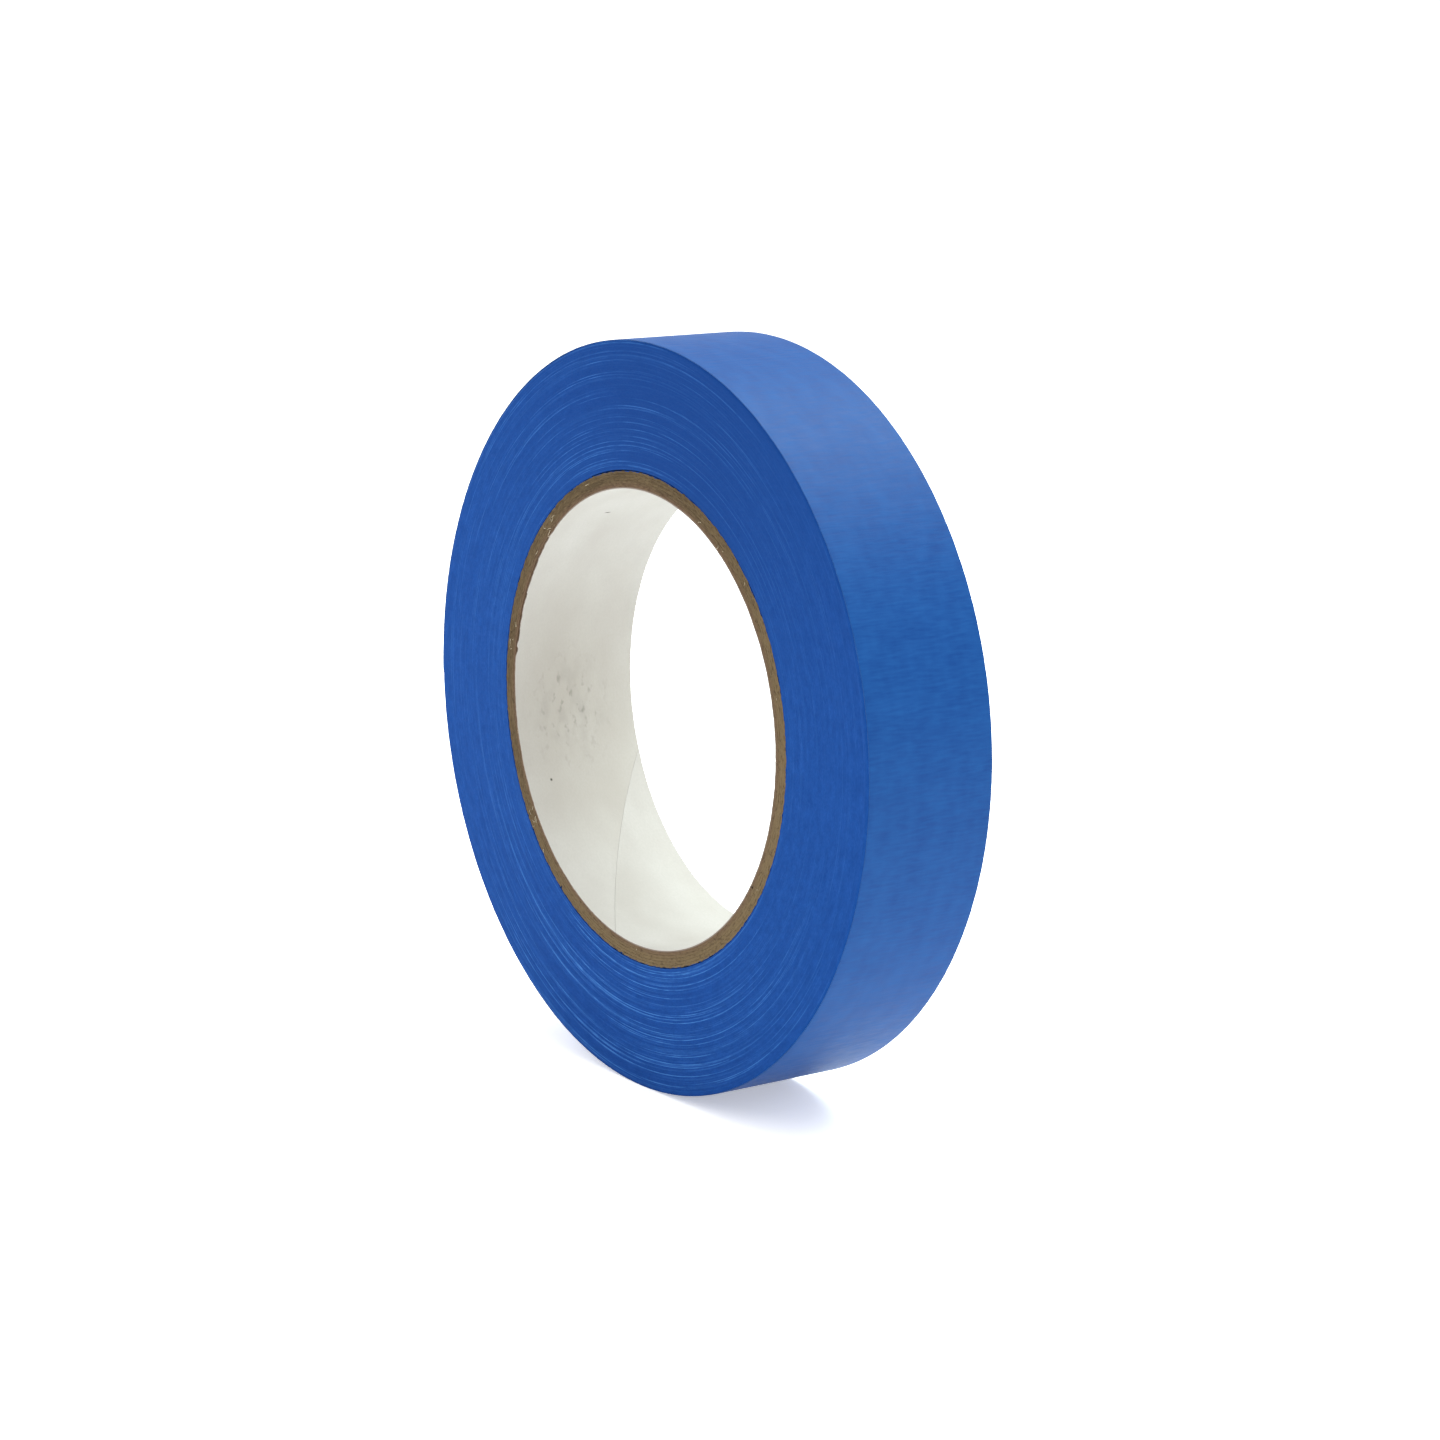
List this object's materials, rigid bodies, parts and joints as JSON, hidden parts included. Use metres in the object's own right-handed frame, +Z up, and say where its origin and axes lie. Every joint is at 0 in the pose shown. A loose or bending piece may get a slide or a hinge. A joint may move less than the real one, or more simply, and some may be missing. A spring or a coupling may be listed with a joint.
{
  "type": "masking tape roll",
  "caption": "Roll of blue creped-paper masking tape on a spiral-wound board core with a white liner; its free end peels off the roll.",
  "frame": {"origin": "middle of the core's bore: on the roll's axis, halfway across the tape's width", "axes": "+Y along the roll's axis, +Z up with the roll standing on its rim, +X along the floor in the plane of the roll; the free end lies at the back, on the -X side"},
  "size_m": [0.1245, 0.024, 0.1245],
  "materials": {
    "white_liner": "uncoated white paper, lightly scuffed",
    "core_board": "raw kraft board, cut edge",
    "crepe_tape": "blue creped paper with a satin release coat",
    "adhesive": "tacky satin film, the blue paper showing through"
  },
  "bodies": {
    "roll": {"core_liner": "white_liner", "core_board_ply_1": "core_board", "core_board_ply_2": "core_board", "core_board_ply_3": "core_board", "core_board_ply_4": "core_board", "core_board_ply_5": "core_board", "tape_wound_turns": "crepe_tape", "outer_turn_adhesive": "adhesive", "outer_turn_backing": "crepe_tape"},
    "tail_1": {"tail_backing_1": "crepe_tape", "tail_adhesive_1": "adhesive"},
    "tail_2": {"tail_backing_2": "crepe_tape", "tail_adhesive_2": "adhesive"},
    "tail_3": {"tail_backing_3": "crepe_tape", "tail_adhesive_3": "adhesive"},
    "tail_4": {"tail_backing_4": "crepe_tape", "tail_adhesive_4": "adhesive"},
    "tail_5": {"tail_backing_5": "crepe_tape", "tail_adhesive_5": "adhesive"},
    "tail_6": {"tail_backing_6": "crepe_tape", "tail_adhesive_6": "adhesive"},
    "tail_7": {"tail_backing_7": "crepe_tape", "tail_adhesive_7": "adhesive"},
    "tail_8": {"tail_backing_8": "crepe_tape", "tail_adhesive_8": "adhesive"}
  },
  "joints": [
    {"name": "tail_peel", "type": "hinge", "parent": "roll", "child": "tail_1", "pos_m": [-0.02078, 0, 0.05867], "axis": [0, 1, 0], "range_deg": [0, 90]},
    {"name": "tail_flex_2", "type": "hinge", "parent": "tail_1", "child": "tail_2", "pos_m": [-0.0297, 0, 0.0547], "axis": [0, 1, 0], "range_deg": [0, 7.2]},
    {"name": "tail_flex_3", "type": "hinge", "parent": "tail_2", "child": "tail_3", "pos_m": [-0.03789, 0, 0.04938], "axis": [0, 1, 0], "range_deg": [0, 7.2]},
    {"name": "tail_flex_4", "type": "hinge", "parent": "tail_3", "child": "tail_4", "pos_m": [-0.04515, 0, 0.04285], "axis": [0, 1, 0], "range_deg": [0, 7.2]},
    {"name": "tail_flex_5", "type": "hinge", "parent": "tail_4", "child": "tail_5", "pos_m": [-0.05131, 0, 0.03526], "axis": [0, 1, 0], "range_deg": [0, 7.2]},
    {"name": "tail_flex_6", "type": "hinge", "parent": "tail_5", "child": "tail_6", "pos_m": [-0.05619, 0, 0.0268], "axis": [0, 1, 0], "range_deg": [0, 7.2]},
    {"name": "tail_flex_7", "type": "hinge", "parent": "tail_6", "child": "tail_7", "pos_m": [-0.0597, 0, 0.01768], "axis": [0, 1, 0], "range_deg": [0, 7.2]},
    {"name": "tail_flex_8", "type": "hinge", "parent": "tail_7", "child": "tail_8", "pos_m": [-0.06173, 0, 0.00813], "axis": [0, 1, 0], "range_deg": [0, 7.2]}
  ],
  "couplings": [
    {"joint": "tail_flex_2", "follows": "tail_peel", "ratio": 0.08},
    {"joint": "tail_flex_3", "follows": "tail_peel", "ratio": 0.08},
    {"joint": "tail_flex_4", "follows": "tail_peel", "ratio": 0.08},
    {"joint": "tail_flex_5", "follows": "tail_peel", "ratio": 0.08},
    {"joint": "tail_flex_6", "follows": "tail_peel", "ratio": 0.08},
    {"joint": "tail_flex_7", "follows": "tail_peel", "ratio": 0.08},
    {"joint": "tail_flex_8", "follows": "tail_peel", "ratio": 0.08}
  ]
}
